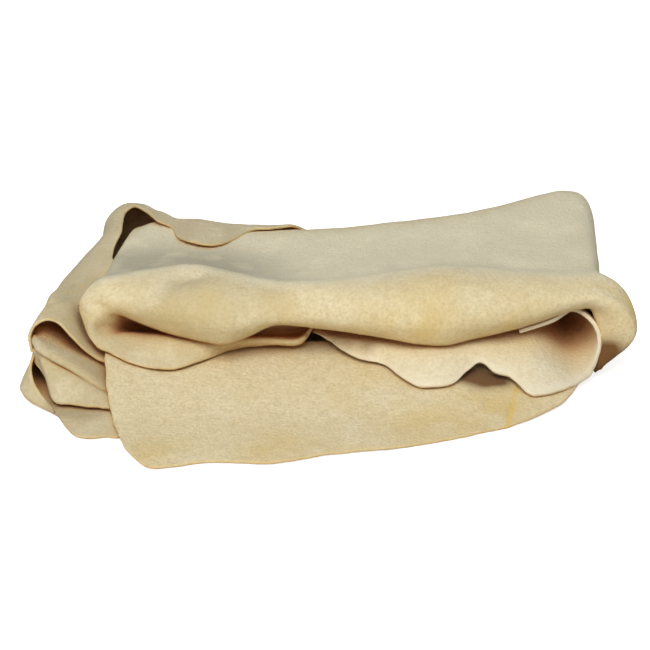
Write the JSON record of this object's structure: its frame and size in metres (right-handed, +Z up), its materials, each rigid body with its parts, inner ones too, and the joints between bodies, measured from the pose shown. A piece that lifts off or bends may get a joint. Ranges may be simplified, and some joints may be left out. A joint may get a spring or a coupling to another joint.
{
  "type": "chamois leather",
  "caption": "Chamois leather, a soft cream suede skin for washing and drying, folded in on itself into a loose pack with a rolled front, a flat front apron and open ends.",
  "frame": {"origin": "middle of the pack's footprint, on the surface it lies on", "axes": "+X to the right along the front roll, +Y from the apron to the back, +Z up"},
  "size_m": [0.2676, 0.2078, 0.0491],
  "materials": {
    "chamois": "soft oil-tanned suede, napped on both sides"
  },
  "bodies": {
    "folded_skin": {"tucked_end": "chamois", "tongue_curl": "chamois", "tongue_flap": "chamois", "under_roll_panel": "chamois", "left_fold": "chamois", "rear_fold": "chamois", "top_panel": "chamois", "front_roll": "chamois", "right_fold": "chamois", "lower_panel": "chamois", "apron_root": "chamois", "base_panel": "chamois", "base_corner": "chamois", "lower_pleat": "chamois", "side_flank": "chamois"},
    "apron_margin": {"front_apron": "chamois"},
    "loose_flap": {"rear_flap": "chamois"}
  },
  "joints": [
    {"name": "apron_lift", "type": "hinge", "parent": "folded_skin", "child": "apron_margin", "pos_m": [0.00419, -0.0617, 0.0036], "axis": [-0.9912, -0.1322, 0.0075], "range_deg": [0, 75]},
    {"name": "flap_lift", "type": "hinge", "parent": "folded_skin", "child": "loose_flap", "pos_m": [-0.08606, 0.0653, 0.0477], "axis": [0.2556, -0.964, 0.073], "range_deg": [0, 150]}
  ]
}
